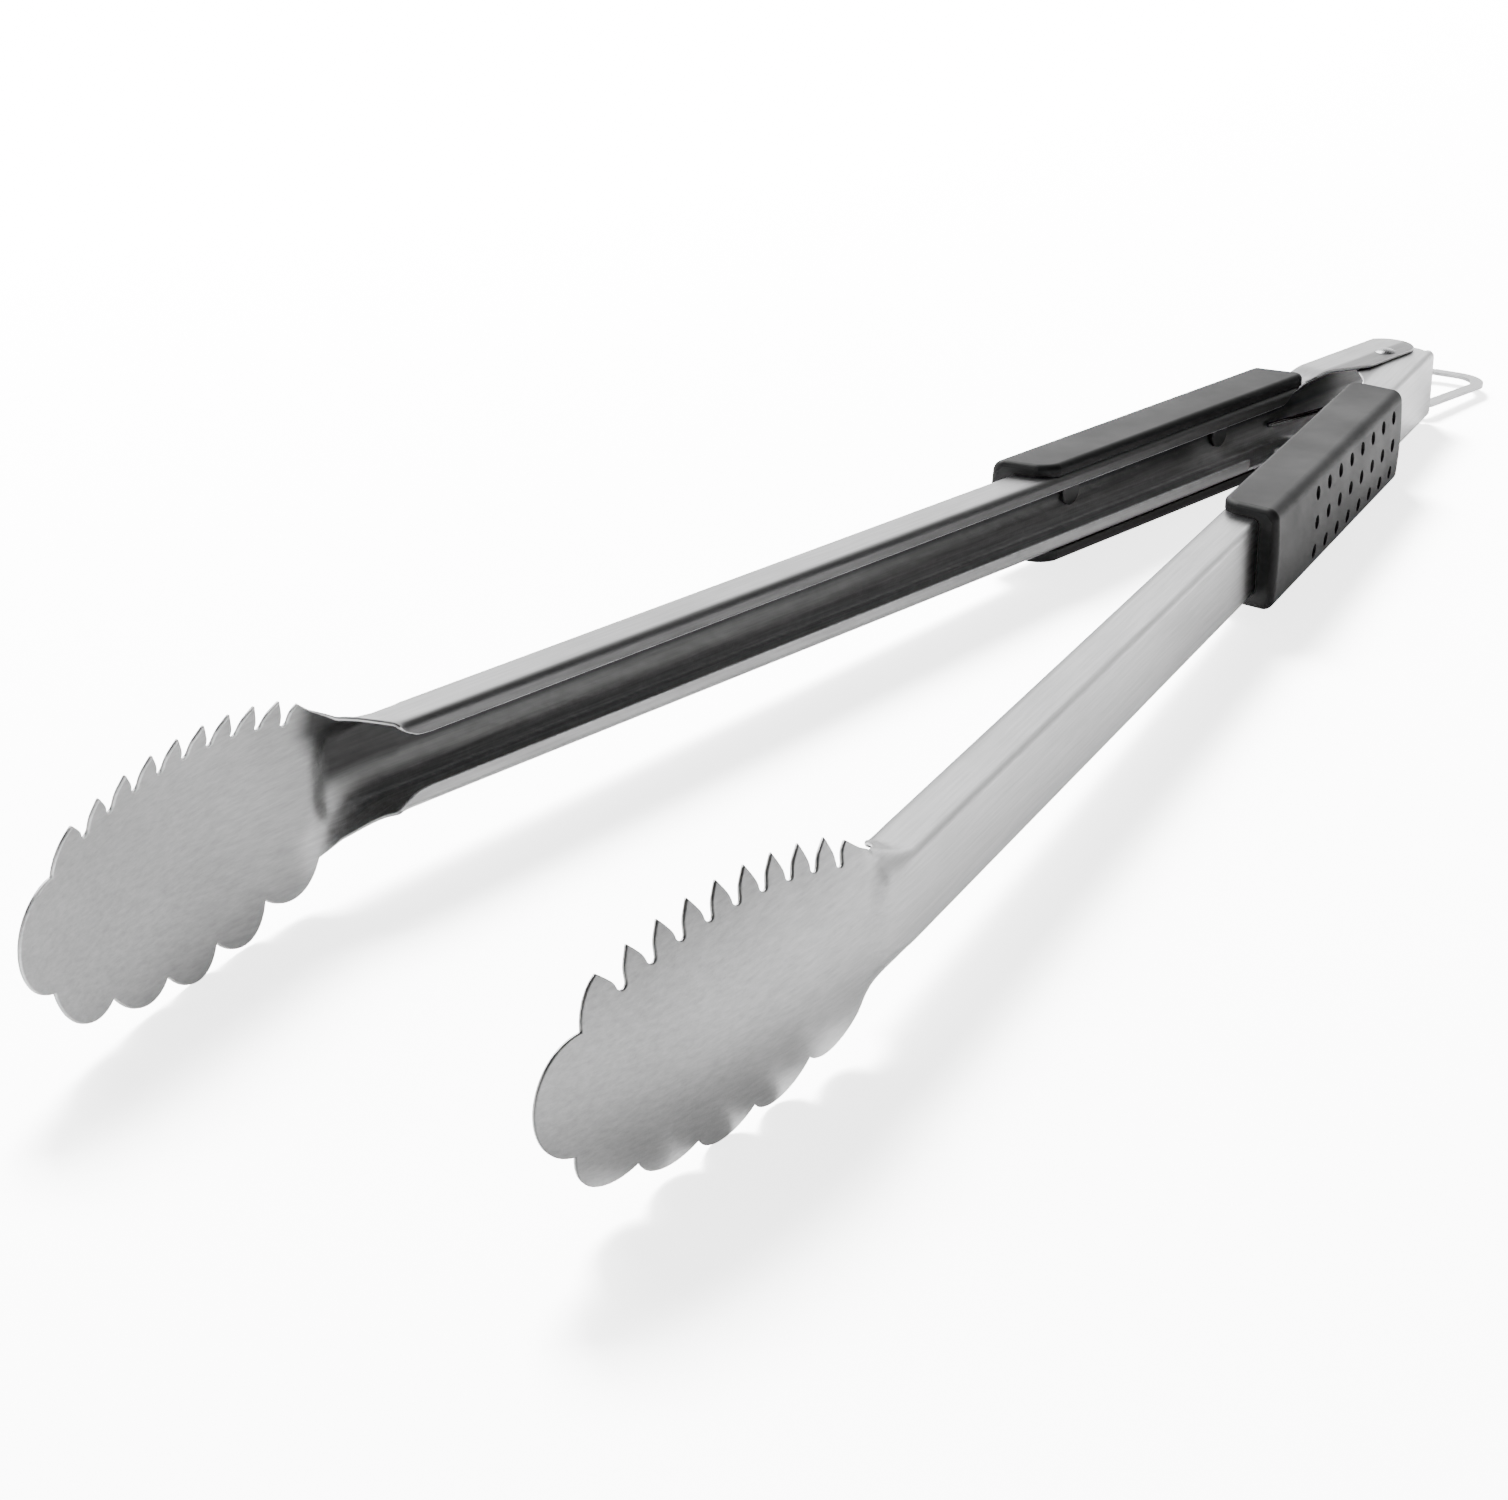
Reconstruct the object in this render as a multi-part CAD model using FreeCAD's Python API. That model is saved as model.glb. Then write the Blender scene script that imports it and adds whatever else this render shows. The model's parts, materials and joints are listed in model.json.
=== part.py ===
import FreeCAD, Part
import math
import os

# Spring loaded kitchen tongs, lying on a table, with the heads towards +X and the hang ring at -X.
# Each arm is one stamped sheet: a lipped channel that opens out into a toothed, spoon-like head.
# An arm is drawn in its own frame: u runs from the pivot to the tip, v from the middle plane of the
# closed tongs out to the web, and w along the pivot's axis. The other arm is its mirror image.
# Millimetres throughout.

V = FreeCAD.Vector

# Sheet and channel
sheet = 0.9
half_height = 9.1             # of the channel, along w
web_face = 10.7               # outer face of the web, along v
lip_face = 0.45               # face of the lips that meets the other arm
lip_depth = 3.6
bend = 1.6                    # outer radius of every bend
play = 0.15                   # between the two pairs of ears

# Stations along the arm
inner_web_end = -11.0         # rear edge of each web
outer_web_end = -7.2
ear_start = -14.5
joggle_start = 26.0
joggle_end = 34.0
lip_start = 42.3
lip_end = 366.5
lip_slant = 5.9               # length of the slanted end of each lip
neck_start = 360.6
flare_start = 364.0           # the channel's flanges begin to lean outwards
flare_end = 384.0
flare_share = 0.4             # of the way from the channel's section to the head's
bowl_start = 377.3            # the rest of the way
bowl_end = 383.7
flat_head = 0.8               # flat middle of the head, half its height
arc_head = 26.0               # length of the curved part of the head's section

# Half width of the flat blank along the neck, from the middle of the web to the free edge
neck_edge = ((363.6, 17.96), (366.4, 17.8), (367.5, 16.6), (369.5, 15.2), (373.0, 14.2), (377.5, 13.8),
             (381.0, 14.4), (384.0, 15.7))
head_blank = 27.4             # beyond the neck, where the outline cuts the head instead
head_blank_start = 388.0

# Ears
ear_edge = -4.0               # free edge, along v
outer_ear_centre = -6.2
inner_ear_centre = -4.8
outer_shoulder = 10.1         # depth v where an ear's round end meets the rear of the web
inner_shoulder = 8.3
ear_dip = 2.3                 # the free edge steps back to here before the lips begin

# Head
head_half_height = 23.5
head_root = 387.7
head_root_depth = 8.1         # along v, at the middle of the sheet
head_slope = 0.10
head_bow = 0.00181            # lengthwise curve, per mm
dish_radius = 61.3            # crosswise curve
teeth_centre = 419.3
teeth_half_length = 53.2
tooth_count = 9
tooth_first = 453.1
tooth_pitch = 7.41
neck_tooth = (388.0, 18.2)
# Notches between teeth: share of the way from one tip to the next, and depth below that line
tooth_gap = ((0.32, 2.4), (0.44, 4.4), (0.585, 5.2), (0.71, 4.5), (0.75, 2.9))
neck_gap = ((0.16, 1.85), (0.15, 3.9), (0.27, 4.65), (0.46, 4.2), (0.62, 2.3))
tip_top = (458.1, 10.4)
tip_front = (468.1, 0.3)
scallop_valleys = ((459.3, -10.5), (443.9, -18.0), (428.6, -20.4), (414.0, -19.9), (398.8, -17.4),
                   (382.6, -14.6))
scallop_bulges = (4.6, 3.3, 3.8, 4.1, 3.6)
lowest_scallop = (421.3, -23.95)

# Pivot, spring and their fits
rivet_radius = 1.75
rivet_head_radius = 2.85
rivet_head_height = 0.9
rivet_play = 0.05             # between the ears and the rivet's heads
hole_radius = 1.83
sleeve_radius = 2.6
wire = 1.2
coil_radius = 4.2
coil_low = -2.9
coil_high = 4.6
coil_laps = 6
leg_reach = 42.0

# Lock slide and hang ring
slide_sheet = 0.9
slide_level = -5.0            # underside of the slide between the arms
ring_level = -7.4             # underside of the ring
slide_half_width = 3.95
slide_front = 62.0
slide_travel = 8.0
tab_length = 9.0
tab_gap = 3.05                # inner face of each locking tab, from the middle plane
notch_start = 52.0
notch_end = 64.5
ring_front = -13.6
ring_back = -51.0
ring_band = 3.3

# Grips
grip_start = 38.4             # rear end, measured at the middle plane
grip_end = 152.8
grip_lean = 0.28              # both ends lean forward by this much per mm of depth
grip_edge = 0.7
grip_face = 15.4
grip_crown = 0.4              # the face is higher by this in the middle
grip_half_height = 12.0
grip_corner = 2.8
grip_edge_fillet = 1.4
grip_free_round = 4.0         # plan radius where the ends meet the free edges
dimple_radius = 1.7
dimple_depth = 1.6
dimple_first = 51.8
dimple_pitch = 10.15
dimple_row_pitch = 7.1
dimple_columns = 8
stud_stations = (66.0, 132.0)
stud_radius = 2.2
stud_head_radius = 3.4
stud_head_height = 0.8
stud_root = 2.0               # length of a stud inside the rubber

# Opening angle of each arm from the middle plane, and how far each one closes
open_angle = 7.8
ear_rise = sheet + play


def smooth(part):
    """Smooth step from 0 to 1."""
    part = min(max(part, 0.0), 1.0)
    return part * part * (3 - 2 * part)


def opening(u):
    """How far the section at station u has gone from the channel, 0, to the head's dish, 1."""
    flare = smooth((u - flare_start) / (flare_end - flare_start))
    bowl = smooth((u - bowl_start) / (bowl_end - bowl_start))
    return flare_share * flare + (1 - flare_share) * bowl


def middle_depth(u):
    """Depth v of the sheet's middle line at station u."""
    run = u - head_root
    head = head_root_depth - head_slope * run - head_bow * run * run
    return (web_face - sheet / 2) * (1 - opening(u)) + head * opening(u)


def blank_half(u):
    """Half width of the flat blank at station u of the neck or head."""
    points = list(neck_edge) + [(head_blank_start, head_blank), (500.0, head_blank)]
    for (back, low), (front, high) in zip(points, points[1:]):
        if back <= u <= front:
            return low + (high - low) * (u - back) / (front - back)
    raise ValueError("station before the neck")


def section(u, height, flange_edge):
    """Closed outline across the sheet at station u: a web, two bends and two flanges."""
    depth = middle_depth(u)
    open_out = opening(u)
    bend_middle = bend - sheet / 2
    flat = (height - bend) * (1 - open_out) + flat_head * open_out
    arc = math.pi / 2 * bend_middle * (1 - open_out) + arc_head * open_out
    turn = math.pi / 2 * (1 - open_out) + arc_head / dish_radius * open_out
    if u <= neck_start:
        straight = depth - bend_middle - flange_edge
    else:
        straight = max(blank_half(u) - flat - arc, 0.4)
        kept = blank_half(u) - flat - straight
        turn = turn * kept / arc
        arc = kept
    radius = arc / turn
    sides = []
    for offset in (sheet / 2, -sheet / 2):
        swing = radius + offset
        bend_top = V(u, depth - radius + swing, flat)
        bend_mid = V(u, depth - radius + swing * math.cos(turn / 2), flat + swing * math.sin(turn / 2))
        bend_end = V(u, depth - radius + swing * math.cos(turn), flat + swing * math.sin(turn))
        free = bend_end + V(0, -math.sin(turn), math.cos(turn)) * straight
        sides.append((bend_top, bend_mid, bend_end, free))
    outer, inner = sides

    def low(point):
        return V(point.x, point.y, -point.z)

    edges = [
        Part.makeLine(low(outer[3]), low(outer[2])),
        Part.Arc(low(outer[2]), low(outer[1]), low(outer[0])).toShape(),
        Part.makeLine(low(outer[0]), outer[0]),
        Part.Arc(outer[0], outer[1], outer[2]).toShape(),
        Part.makeLine(outer[2], outer[3]),
        Part.makeLine(outer[3], inner[3]),
        Part.makeLine(inner[3], inner[2]),
        Part.Arc(inner[2], inner[1], inner[0]).toShape(),
        Part.makeLine(inner[0], low(inner[0])),
        Part.Arc(low(inner[0]), low(inner[1]), low(inner[2])).toShape(),
        Part.makeLine(low(inner[2]), low(inner[3])),
        Part.makeLine(low(inner[3]), low(outer[3])),
    ]
    return Part.Wire(edges)


def plate(wire, direction):
    """Prism of a closed outline along a direction."""
    return Part.Face(wire).extrude(direction)


def polygon(points):
    return Part.makePolygon(points + [points[0]])


def box(low, high):
    size = high - low
    return Part.makeBox(size.x, size.y, size.z, low)


def outline_wire(points):
    """Closed wire from corner points, where a pair of points is (middle, end) of an arc."""
    edges = []
    here = points[0]
    for step in points[1:]:
        if isinstance(step, tuple):
            edges.append(Part.Arc(here, step[0], step[1]).toShape())
            here = step[1]
        else:
            edges.append(Part.makeLine(here, step))
            here = step
    if here.distanceToPoint(points[0]) > 1e-6:
        edges.append(Part.makeLine(here, points[0]))
    return Part.Wire(edges)


def oval(u):
    """Height w of the oval that the tooth tips touch."""
    return head_half_height * math.sqrt(1 - ((u - teeth_centre) / teeth_half_length) ** 2)


def off_line(start, end, share, depth):
    """Point at a share of the way from start to end and depth to its right, in the (u, w) plane."""
    along = (end - start).normalize()
    right = V(along.z, 0, -along.x)
    return start + (end - start) * share + right * depth


def in_plane(point):
    return V(point[0], 0, point[1])


def head_outline():
    """Outline of the head in the (u, w) plane, run from the neck over the teeth and back below."""
    neck_front = V(neck_edge[-1][0], 0, 15.6)
    reach = 30.0
    stations = [tooth_first - tooth_pitch * step for step in range(tooth_count)]
    tips = [in_plane(neck_tooth)] + [V(u, 0, oval(u)) for u in reversed(stations)]
    points = [V(340, 0, -reach), V(340, 0, reach), V(neck_front.x, 0, reach), neck_front, tips[0]]
    for number, (back, front) in enumerate(zip(tips, tips[1:])):
        gap = neck_gap if number == 0 else tooth_gap
        spots = [off_line(back, front, share, depth) for share, depth in gap]
        points.append((spots[0], spots[1]))
        points.append((spots[2], spots[3]))
        points.append((spots[4], front))
    top = in_plane(tip_top)
    points.append((off_line(tips[-1], top, 0.5, -1.1), top))
    points.append((in_plane(tip_front), in_plane(scallop_valleys[0])))
    valleys = [in_plane(valley) for valley in scallop_valleys]
    for start, end, bulge in zip(valleys, valleys[1:], scallop_bulges):
        points.append((off_line(start, end, 0.5, -bulge), end))
    points.append(V(valleys[-1].x, 0, -reach))
    return outline_wire(points)


def lip_strip(side):
    """Bend and lip along one flange; side is +1 at the top and -1 below."""
    top = half_height * side
    inner_bend = bend - sheet
    centre = V(lip_start, lip_face + bend, top - bend * side)
    half = math.sqrt(0.5)
    wire = outline_wire([
        V(lip_start, lip_face + bend, top),
        (centre + V(0, -bend * half, bend * half * side), V(lip_start, lip_face, top - bend * side)),
        V(lip_start, lip_face, top - lip_depth * side),
        V(lip_start, lip_face + sheet, top - lip_depth * side),
        V(lip_start, lip_face + sheet, top - bend * side),
        (centre + V(0, -inner_bend * half, inner_bend * half * side),
         V(lip_start, lip_face + bend, top - sheet * side)),
    ])
    strip = plate(wire, V(lip_end - lip_start, 0, 0))
    for station, slant in ((lip_start, lip_slant), (lip_end, -lip_slant)):
        wedge = polygon([
            V(station, -1, top + 0.1 * side),
            V(station - slant, -1, top + 0.1 * side),
            V(station - slant, -1, top - (lip_depth + 1) * side),
            V(station + slant, -1, top - lip_depth * side),
        ])
        strip = strip.cut(plate(wedge, V(0, 4, 0)))
    return strip


def ear_outline(centre, end, shoulder):
    """Plan outline of an ear in the (u, v) plane: round up to shoulder, straight edge, step back."""
    radius = (web_face - ear_edge) / 2
    middle = web_face - radius
    start = V(centre - math.sqrt(radius ** 2 - (shoulder - middle) ** 2), shoulder, 0)
    outside = web_face + 3.3
    below = ear_edge - 4.0
    dip = Part.BSplineCurve()
    dip.interpolate(
        [V(14.6, ear_edge, 0), V(19.5, -1.9, 0), V(26.5, 1.0, 0), V(34.5, ear_dip, 0),
         V(lip_start, lip_face, 0)],
        InitialTangent=V(1, 0.1, 0), FinalTangent=V(1, -0.5, 0))
    corners = [V(lip_start, lip_face, 0), V(lip_start, below, 0), V(70, below, 0), V(70, outside, 0),
               V(end, outside, 0), V(end, shoulder + 0.5, 0), start]
    edges = [
        Part.Arc(start, V(centre - radius, middle, 0), V(centre, ear_edge, 0)).toShape(),
        Part.makeLine(V(centre, ear_edge, 0), V(14.6, ear_edge, 0)),
        dip.toShape(),
    ]
    edges += [Part.makeLine(a, b) for a, b in zip(corners, corners[1:])]
    return Part.Wire(edges)


def make_arm(rise, ear_centre, end, shoulder):
    """One stamped arm. rise lifts its ears clear of the other arm's, end is where its web stops."""
    ear_height = half_height + rise
    stations = [(ear_start, ear_height, ear_edge), (joggle_start, ear_height, ear_edge)]
    stations.append((joggle_end, half_height, ear_edge))
    stations.append((lip_start - 0.4, half_height, ear_edge))
    stations.append((lip_start, half_height, lip_face + bend))
    stations.append((neck_start, half_height, lip_face + bend))
    neck = [363.6, 366.4, 367.5, 369.5, 371.5, 373, 375, 377.5, 379, 380, 381, 382.2, 384, 388]
    head = [395, 402, 410, 420, 430, 440, 450, 460, 470]
    stations += [(u, half_height, lip_face) for u in neck + head]
    body = Part.makeLoft([section(*station) for station in stations], True, True)
    keep = plate(head_outline(), V(0, 70, 0)).translate(V(0, -30, 0))
    body = body.common(keep.fuse(box(V(-20, -30, -30), V(350, 40, 30))))
    for side in (1, -1):
        body = body.fuse(lip_strip(side))
    outline = plate(ear_outline(ear_centre, end, shoulder), V(0, 0, 60)).translate(V(0, 0, -30))
    for side in (1, -1):
        level = sorted((side * (half_height - bend), side * 20.0))
        slab = box(V(-20, -12, level[0]), V(lip_start + 0.7, 13.5, level[1]))
        body = body.cut(slab.cut(outline))
    body = body.cut(box(V(-20, -12, -half_height + sheet), V(end, 13, half_height - sheet)))
    body = body.cut(Part.makeCylinder(hole_radius, 40, V(0, 0, -20)))
    body = body.cut(box(V(notch_start, -1, -half_height + sheet), V(notch_end, 1.7, 0)))
    for station in stud_stations:
        hole = Part.makeCylinder(stud_radius, 8, V(station, web_face - 4, 0), V(0, 1, 0))
        body = body.cut(hole)
    return body.removeSplitter()


def grip_section(face, height, corner, edge, crown):
    """Outline across a grip, or across the channel it wraps when crown is 0."""
    half = corner * math.sqrt(0.5)
    u = grip_start - 5
    top = V(u, face, height - corner)
    low = V(u, face, corner - height)
    middle = (V(u, face + crown, 0), top) if crown else top
    return outline_wire([
        V(u, edge, -height),
        V(u, face - corner, -height),
        (V(u, face - corner + half, -height + corner - half), low),
        middle,
        (V(u, face - corner + half, height - corner + half), V(u, face - corner, height)),
        V(u, edge, height),
    ])


def grip_plan():
    """Plan outline of a grip in the (u, v) plane: ends that lean forward, round at the free edges."""
    free = grip_free_round
    face = grip_face + 3.0
    turn = 1 - math.sqrt(0.5)

    def rear(v):
        return grip_start + grip_lean * v

    def fore(v):
        return grip_end + grip_lean * v

    return outline_wire([
        V(rear(grip_edge) + free, grip_edge, 0),
        V(fore(grip_edge) - free, grip_edge, 0),
        (V(fore(grip_edge) - free * turn, grip_edge + free * turn, 0),
         V(fore(grip_edge + free), grip_edge + free, 0)),
        V(fore(face), face, 0),
        V(rear(face), face, 0),
        V(rear(grip_edge + free), grip_edge + free, 0),
        (V(rear(grip_edge) + free * turn, grip_edge + free * turn, 0),
         V(rear(grip_edge) + free, grip_edge, 0)),
    ])


def is_sharp(solid, edge):
    """Whether the two faces of the solid at an edge meet at more than 20 degrees."""
    point = edge.valueAt((edge.FirstParameter + edge.LastParameter) / 2)
    normals = []
    for face in solid.Faces:
        if any(other.isSame(edge) for other in face.Edges):
            normals.append(face.normalAt(*face.Surface.parameter(point)))
    return len(normals) == 2 and normals[0].getAngle(normals[1]) > math.radians(20)


def make_grip():
    """Moulded sleeve that wraps the web and both flanges and leaves the lips bare."""
    length = V(grip_end - grip_start + 20, 0, 0)
    below = grip_edge - 2.0
    outside = plate(grip_section(grip_face, grip_half_height, grip_corner, below, grip_crown), length)
    plan = plate(grip_plan(), V(0, 0, 60)).translate(V(0, 0, -30))
    outside = outside.common(plan)
    outside = outside.makeFillet(grip_edge_fillet, [e for e in outside.Edges if is_sharp(outside, e)])
    cavity = plate(grip_section(web_face + 0.02, half_height + 0.02, bend, below, 0), length)
    grip = outside.cut(cavity)
    for column in range(dimple_columns):
        for row in (-1, 0, 1):
            spot = V(dimple_first + column * dimple_pitch, grip_face - dimple_depth, row * dimple_row_pitch)
            grip = grip.cut(Part.makeCylinder(dimple_radius, dimple_depth + 1, spot, V(0, 1, 0)))
    for station in stud_stations:
        spot = V(station, web_face - 1, 0)
        grip = grip.cut(Part.makeCylinder(stud_radius, stud_root + 1.02, spot, V(0, 1, 0)))
    return grip


def make_studs():
    """Flanged studs, moulded into the grip, that hold it to the web."""
    studs = []
    inner = web_face - sheet
    for station in stud_stations:
        shank = Part.makeCylinder(stud_radius - 0.02, sheet + stud_root, V(station, inner, 0), V(0, 1, 0))
        head = Part.makeCylinder(stud_head_radius, stud_head_height,
                                 V(station, inner - stud_head_height - 0.01, 0), V(0, 1, 0))
        studs.append(head.fuse(shank).removeSplitter())
    return Part.makeCompound(studs)


def make_rivet():
    """Solid rivet with a low dome at each end."""
    face = half_height + ear_rise + rivet_play
    length = 2 * face
    rivet = Part.makeCylinder(rivet_radius, length, V(0, 0, -face))
    dome = (rivet_head_radius ** 2 + rivet_head_height ** 2) / (2 * rivet_head_height)
    ball = Part.makeSphere(dome, V(0, 0, face + rivet_head_height - dome))
    reach = rivet_head_radius + 2
    cap = ball.common(box(V(-reach, -reach, face), V(reach, reach, face + 3)))
    rivet = rivet.fuse(cap).fuse(cap.mirror(V(0, 0, 0), V(0, 0, 1)))
    return rivet.removeSplitter()


def make_sleeve():
    """Spacer tube that keeps the ears apart and centres the spring."""
    reach = half_height - sheet - 0.1
    tube = Part.makeCylinder(sleeve_radius, 2 * reach, V(0, 0, -reach))
    return tube.cut(Part.makeCylinder(rivet_radius + 0.05, 2 * reach + 2, V(0, 0, -reach - 1)))


def make_spring():
    """Left-hand torsion spring round the sleeve, with a leg along the inside of each web."""
    angle = math.radians(open_angle)
    contact = web_face - sheet - wire / 2 - 0.05
    reach = V(leg_reach * math.cos(angle) - contact * math.sin(angle),
              leg_reach * math.sin(angle) + contact * math.cos(angle), 0)
    leave = math.atan2(reach.y, reach.x) + math.acos(coil_radius / reach.Length)
    sweep = 2 * math.pi * coil_laps - 2 * leave
    height = coil_high - coil_low
    helix = Part.makeHelix(height / sweep * 2 * math.pi, height, coil_radius)
    helix.rotate(V(0, 0, 0), V(0, 0, 1), math.degrees(leave))
    helix.translate(V(0, 0, coil_low))
    foot = V(coil_radius * math.cos(leave), coil_radius * math.sin(leave), 0)
    low_end = reach + V(0, 0, coil_low)
    low_foot = foot + V(0, 0, coil_low)
    high_foot = V(foot.x, -foot.y, coil_high)
    high_end = V(reach.x, -reach.y, coil_high)
    path = Part.Wire([Part.makeLine(low_end, low_foot)] + helix.Edges + [Part.makeLine(high_foot, high_end)])
    ring = Part.Wire([Part.makeCircle(wire / 2, low_end, low_foot - low_end)])
    spring = path.makePipeShell([ring], True, True)
    return spring.mirror(V(0, 0, 0), V(0, 1, 0))


def make_slide():
    """Lock slide: hang ring, slotted plate and two tabs that turn down over the lips."""
    top = slide_level + slide_sheet
    profile = polygon([
        V(ring_back - 2, 0, ring_level), V(-9.5, 0, ring_level), V(-6.5, 0, slide_level),
        V(slide_front, 0, slide_level), V(slide_front, 0, top), V(-6.7, 0, top),
        V(-9.7, 0, ring_level + slide_sheet), V(ring_back - 2, 0, ring_level + slide_sheet)])
    blank = plate(profile, V(0, 40, 0)).translate(V(0, -20, 0))
    body = box(V(ring_front - 2, -slide_half_width, -20), V(slide_front, slide_half_width, 20))
    outer = ring_plan(0.0)
    inner = ring_plan(ring_band)
    slide = blank.common(body.fuse(outer)).cut(inner)
    slot_low = -sleeve_radius - 0.3
    slot_high = slide_travel + sleeve_radius + 0.3
    half_slot = sleeve_radius + 0.3
    slot = box(V(0, -half_slot, -20), V(slot_high - half_slot, half_slot, 20))
    slot = slot.fuse(Part.makeCylinder(half_slot, 40, V(slot_low + half_slot, 0, -20)))
    slot = slot.fuse(Part.makeCylinder(half_slot, 40, V(slot_high - half_slot, 0, -20)))
    slide = slide.cut(slot)
    tab_end = -half_height + sheet + 0.5
    for side in (1, -1):
        near, far = sorted((side * tab_gap, side * slide_half_width))
        tab = box(V(slide_front - tab_length, near, tab_end), V(slide_front, far, slide_level))
        slide = slide.fuse(tab)
    return slide.removeSplitter()


def ring_plan(inset):
    """Prism of the ring's plan, drawn in by inset: narrow in front, wide and round behind."""
    front = ring_front - inset
    back = ring_back + inset
    narrow = 8.6 - inset
    wide = 12.7 - inset
    round_front = max(3.4 - inset, 1.2)
    round_back = 10.0 - inset
    edge = math.sqrt(0.5)
    side_back = back + round_back
    points = [
        V(front, -narrow + round_front, 0),
        V(front, narrow - round_front, 0),
        (V(front - round_front * (1 - edge), narrow - round_front * (1 - edge), 0),
         V(front - round_front, narrow, 0)),
        V(side_back, wide, 0),
        (V(side_back - round_back * edge, wide - round_back * (1 - edge), 0),
         V(back, wide - round_back, 0)),
        V(back, -wide + round_back, 0),
        (V(side_back - round_back * edge, -wide + round_back * (1 - edge), 0),
         V(side_back, -wide, 0)),
        V(front - round_front, -narrow, 0),
        (V(front - round_front * (1 - edge), -narrow + round_front * (1 - edge), 0),
         V(front, -narrow + round_front, 0)),
    ]
    return plate(outline_wire(points), V(0, 0, 40)).translate(V(0, 0, -20))


def near_side(shape):
    """Swing a part of the inner arm, at +Y, to its open position."""
    return shape.rotated(V(0, 0, 0), V(0, 0, 1), open_angle)


def far_side(shape):
    """Mirror a part to the outer arm, at -Y, and swing it to its open position."""
    return shape.mirror(V(0, 0, 0), V(0, 1, 0)).rotated(V(0, 0, 0), V(0, 0, 1), -open_angle)


def build():
    outer_arm = make_arm(ear_rise, outer_ear_centre, outer_web_end, outer_shoulder)
    inner_arm = make_arm(0.0, inner_ear_centre, inner_web_end, inner_shoulder)
    grip = make_grip()
    studs = make_studs()
    nodes = {
        "outer_arm": far_side(outer_arm),
        "inner_arm": near_side(inner_arm),
        "outer_grip": far_side(grip),
        "inner_grip": near_side(grip),
        "outer_grip_studs": far_side(studs),
        "inner_grip_studs": near_side(studs),
        "pivot_rivet": make_rivet(),
        "pivot_sleeve": make_sleeve(),
        "torsion_spring": make_spring(),
        "lock_slide": make_slide(),
    }
    # The tongs lie on the lower rivet head and the lowest scallops, so they tilt up at the heads.
    rivet_foot = half_height + ear_rise + rivet_play + rivet_head_height
    lie_angle = math.degrees(math.atan((-lowest_scallop[1] - rivet_foot) / lowest_scallop[0]))
    for name in nodes:
        nodes[name] = nodes[name].rotated(V(0, 0, 0), V(0, 1, 0), -lie_angle)
    bounds = Part.makeCompound(list(nodes.values())).optimalBoundingBox(False, False)
    shift = V(-(bounds.XMin + bounds.XMax) / 2, -(bounds.YMin + bounds.YMax) / 2, -bounds.ZMin)
    for name in nodes:
        nodes[name] = nodes[name].translated(shift)
    print("pivot", [round(value, 4) for value in shift], "lie angle", round(lie_angle, 5))
    return nodes


def main():
    os.makedirs("parts", exist_ok=True)
    for name, shape in build().items():
        shape.exportStep("parts/" + name + ".step")


main()
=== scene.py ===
import bpy
import json
import math
import numpy as np
from mathutils import Matrix, Vector
from mathutils.geometry import delaunay_2d_cdt


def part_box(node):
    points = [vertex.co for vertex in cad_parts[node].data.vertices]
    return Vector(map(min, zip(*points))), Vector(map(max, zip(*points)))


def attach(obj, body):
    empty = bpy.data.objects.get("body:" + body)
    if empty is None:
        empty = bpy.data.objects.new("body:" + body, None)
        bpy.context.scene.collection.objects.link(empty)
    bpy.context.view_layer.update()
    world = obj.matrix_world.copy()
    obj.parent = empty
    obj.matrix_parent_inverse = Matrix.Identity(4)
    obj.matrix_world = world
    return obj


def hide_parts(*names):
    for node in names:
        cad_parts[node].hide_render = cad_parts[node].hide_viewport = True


# Spring loaded kitchen tongs lying on a pale floor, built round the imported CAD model.
# Each arm is one steel sheet: its flat blank is outlined and meshed in (u, t), then formed.
# u runs from the pivot to the tip, and t across the sheet from the middle of the web.
# A formed point is (u, v, w): v out from the middle plane to the web, w along the pivot's axis.
# Sizes are in millimetres, and mm turns them into metres when a mesh is made.

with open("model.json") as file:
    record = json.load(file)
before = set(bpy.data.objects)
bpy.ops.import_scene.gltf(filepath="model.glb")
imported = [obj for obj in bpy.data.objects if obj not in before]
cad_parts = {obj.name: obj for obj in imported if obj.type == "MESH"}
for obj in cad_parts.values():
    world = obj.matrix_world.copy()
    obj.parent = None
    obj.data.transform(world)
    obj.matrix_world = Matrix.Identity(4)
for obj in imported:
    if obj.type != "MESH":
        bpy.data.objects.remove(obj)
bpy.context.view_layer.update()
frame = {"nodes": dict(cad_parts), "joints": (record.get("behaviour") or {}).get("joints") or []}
mm = 0.001

# The pivot and the slope of the tongs are read from the frame.
rivet_low, rivet_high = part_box("pivot_rivet")
pivot = (rivet_low + rivet_high) / 2
hinge = frame["joints"][0]
lie_angle = math.asin(-hinge["axis"][0])

# Each arm's opening angle at rest, its sheet and its channel, as in the CAD model
open_angle = math.radians(7.8)
sheet = 0.9
half_height = 9.1
web_face = 10.7
lip_face = 0.45
bend_outside = 1.6
lip_depth = 3.6
web_middle = web_face - sheet / 2
lip_middle = lip_face + sheet / 2
bend_middle = bend_outside - sheet / 2
web_flat = half_height - bend_outside
bend_arc = math.pi / 2 * bend_middle
bend_two = web_flat + bend_arc + web_middle - lip_middle - 2 * bend_middle
lip_edge = bend_two + bend_arc + lip_depth - bend_outside

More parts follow.
